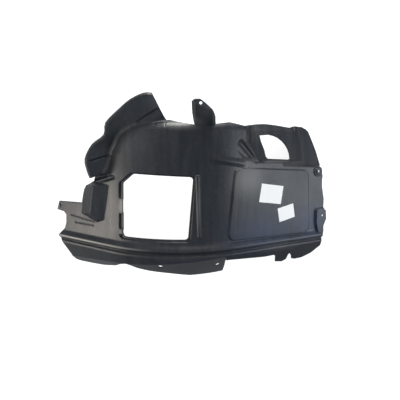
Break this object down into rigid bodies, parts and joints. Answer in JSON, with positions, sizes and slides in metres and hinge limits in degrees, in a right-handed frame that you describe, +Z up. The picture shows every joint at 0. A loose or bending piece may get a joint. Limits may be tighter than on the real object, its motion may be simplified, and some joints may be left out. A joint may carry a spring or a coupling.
{
  "type": "wheel arch liner",
  "caption": "Front wheel arch liner: a moulded plastic skin over the tyre with a beaded lip, a splash wing, an access opening and a light well.",
  "frame": {"origin": "floor under the middle of the part, which stands on one corner of its flange and two corners of its light well", "axes": "+X along the car towards the rear run of the liner, +Y across the car towards the engine side, +Z up"},
  "size_m": [0.914, 0.5332, 0.2753],
  "materials": {
    "skin": "moulded black plastic with a soft sheen",
    "paper": "white paper label"
  },
  "bodies": {
    "root": {"liner": "skin", "label_large": "paper", "label_small": "paper"}
  },
  "joints": []
}
